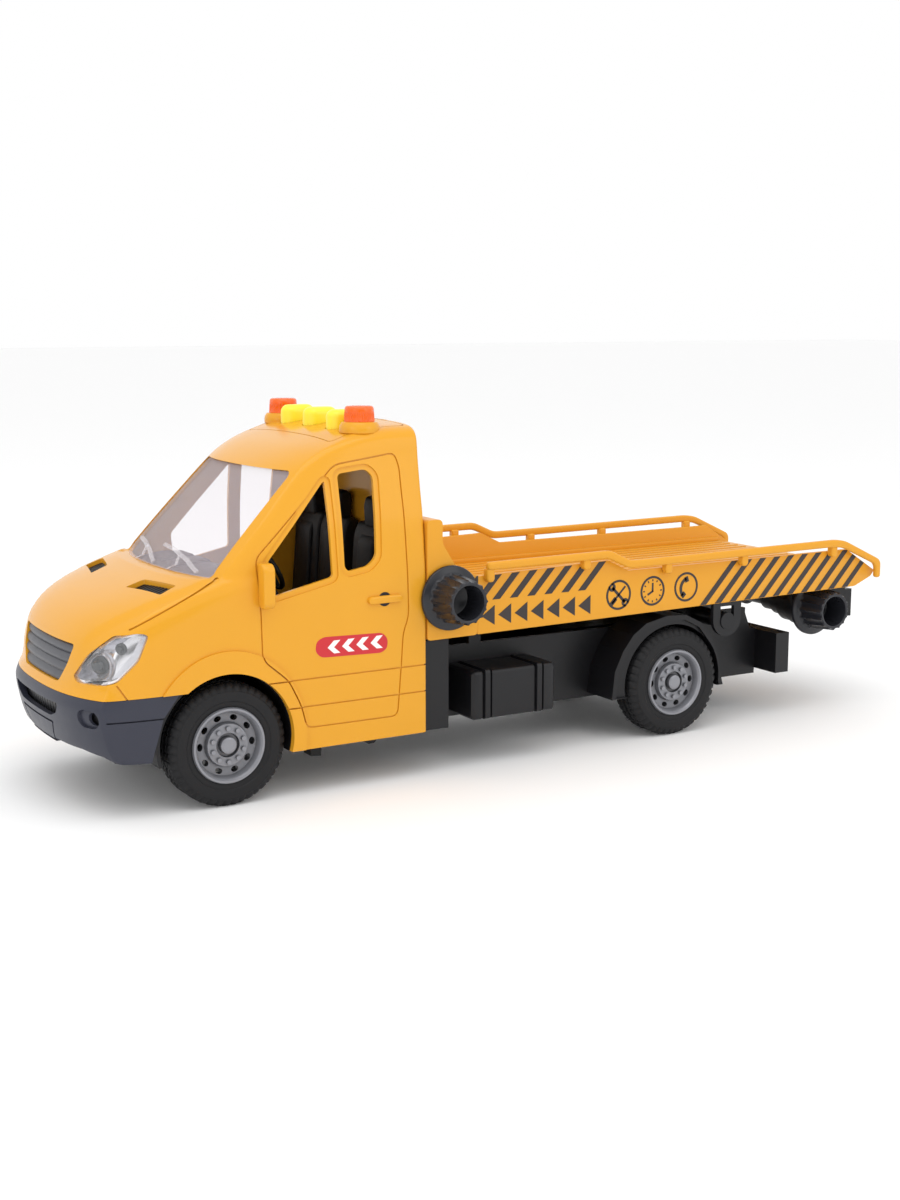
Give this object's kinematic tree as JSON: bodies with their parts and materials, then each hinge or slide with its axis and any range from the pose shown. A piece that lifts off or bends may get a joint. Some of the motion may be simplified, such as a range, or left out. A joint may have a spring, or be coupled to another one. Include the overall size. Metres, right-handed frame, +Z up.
{
  "type": "toy recovery truck",
  "caption": "Friction-driven toy van-cab recovery truck with a tilting flat bed, side rails, winch knobs, roof beacons and sound buttons.",
  "frame": {"origin": "on the ground, at the bottom centre of the whole truck's box", "axes": "+X to the front bumper, +Y to the truck's left side, +Z up"},
  "size_m": [0.4, 0.14, 0.1531],
  "materials": {
    "cab_yellow": "gloss",
    "bed_yellow": "satin",
    "clear_window": "clear",
    "lamp_lens": "clear",
    "lamp_chrome": "mirror",
    "grille_grey": "satin",
    "vent_black": "matte",
    "bumper_slate": "satin",
    "beacon_orange": "gloss",
    "button_yellow": "satin",
    "circuit_board": "satin",
    "led_clear": "gloss",
    "speaker_black": "matte",
    "cell_steel": "satin",
    "interior_black": "matte",
    "chassis_black": "satin",
    "screw_steel": "satin",
    "tyre_black": "matte",
    "rim_grey": "satin",
    "axle_steel": "satin",
    "gear_nylon": "satin",
    "flywheel_steel": "satin",
    "motor_plastic": "satin",
    "knob_charcoal": "gloss"
  },
  "bodies": {
    "truck": {"cab_shell": "cab_yellow", "roof_panel": "cab_yellow", "windscreen": "clear_window", "headlight_lens_left": "lamp_lens", "headlight_lens_right": "lamp_lens", "headlight_reflectors": "lamp_chrome", "grille": "grille_grey", "hood_vents": "vent_black", "bumper": "bumper_slate", "beacon_bezels": "cab_yellow", "beacon_lens_left": "beacon_orange", "beacon_lens_right": "beacon_orange", "sound_board": "circuit_board", "beacon_leds": "led_clear", "speaker": "speaker_black", "button_cells": "cell_steel", "electronics_tray": "interior_black", "interior_floor": "interior_black", "seats": "interior_black", "dashboard": "interior_black", "steering_wheel": "interior_black", "mirrors": "cab_yellow", "wheel_housings": "chassis_black", "chassis": "chassis_black", "bed_pivot_pin": "chassis_black", "chassis_screws": "screw_steel", "toolboxes": "chassis_black", "mudguards": "chassis_black", "motor_housing_left": "motor_plastic", "motor_housing_right": "motor_plastic"},
    "front_wheels": {"front_axle": "axle_steel", "front_tyre_left": "tyre_black", "front_rim_left": "rim_grey", "front_tyre_right": "tyre_black", "front_rim_right": "rim_grey"},
    "rear_wheels": {"rear_axle": "axle_steel", "axle_gear": "gear_nylon", "rear_tyre_left": "tyre_black", "rear_rim_left": "rim_grey", "rear_tyre_right": "tyre_black", "rear_rim_right": "rim_grey"},
    "motor_gear": {"intermediate_gear": "gear_nylon"},
    "motor_flywheel": {"flywheel": "flywheel_steel"},
    "bed": {"bed_deck": "bed_yellow", "headboard": "bed_yellow", "side_rail_left": "bed_yellow", "side_rail_right": "bed_yellow", "bed_subframe": "chassis_black", "bed_hangers": "chassis_black", "winch_frame": "chassis_black"},
    "winch": {"winch_drum": "knob_charcoal", "winch_knob_left": "knob_charcoal", "winch_knob_right": "knob_charcoal"},
    "spool": {"rear_spool": "chassis_black", "spool_knob_left": "knob_charcoal", "spool_knob_right": "knob_charcoal"},
    "button_left": {"sound_button_left": "button_yellow"},
    "button_middle": {"sound_button_middle": "button_yellow"},
    "button_right": {"sound_button_right": "button_yellow"}
  },
  "joints": [
    {"name": "front_wheels_spin", "type": "hinge", "parent": "truck", "child": "front_wheels", "pos_m": [0.139, 0, 0.0245], "axis": [0, 1, 0], "continuous": true},
    {"name": "rear_wheels_spin", "type": "hinge", "parent": "truck", "child": "rear_wheels", "pos_m": [-0.0795, 0, 0.0245], "axis": [0, 1, 0], "continuous": true},
    {"name": "motor_gear_spin", "type": "hinge", "parent": "truck", "child": "motor_gear", "pos_m": [-0.06967, 0, 0.03138], "axis": [0, 1, 0], "continuous": true},
    {"name": "flywheel_spin", "type": "hinge", "parent": "truck", "child": "motor_flywheel", "pos_m": [-0.05785, 0, 0.03347], "axis": [0, 1, 0], "continuous": true},
    {"name": "bed_tilt", "type": "hinge", "parent": "truck", "child": "bed", "pos_m": [-0.108, 0, 0.0505], "axis": [0, -1, 0], "range_deg": [0, 24]},
    {"name": "winch_turn", "type": "hinge", "parent": "bed", "child": "winch", "pos_m": [0.041, 0, 0.0745], "axis": [0, 1, 0], "continuous": true},
    {"name": "spool_turn", "type": "hinge", "parent": "bed", "child": "spool", "pos_m": [-0.1735, 0, 0.049], "axis": [0, 1, 0], "continuous": true},
    {"name": "button_left_press", "type": "slide", "parent": "truck", "child": "button_left", "axis": [0, 0, -1], "range_m": [0, 0.0012], "stiffness_N_per_m": 400, "springref_m": -0.0005},
    {"name": "button_middle_press", "type": "slide", "parent": "truck", "child": "button_middle", "axis": [0, 0, -1], "range_m": [0, 0.0012], "stiffness_N_per_m": 400, "springref_m": -0.0005},
    {"name": "button_right_press", "type": "slide", "parent": "truck", "child": "button_right", "axis": [0, 0, -1], "range_m": [0, 0.0012], "stiffness_N_per_m": 400, "springref_m": -0.0005}
  ],
  "couplings": [
    {"joint": "motor_gear_spin", "follows": "rear_wheels_spin", "ratio": -3},
    {"joint": "flywheel_spin", "follows": "rear_wheels_spin", "ratio": 9}
  ]
}
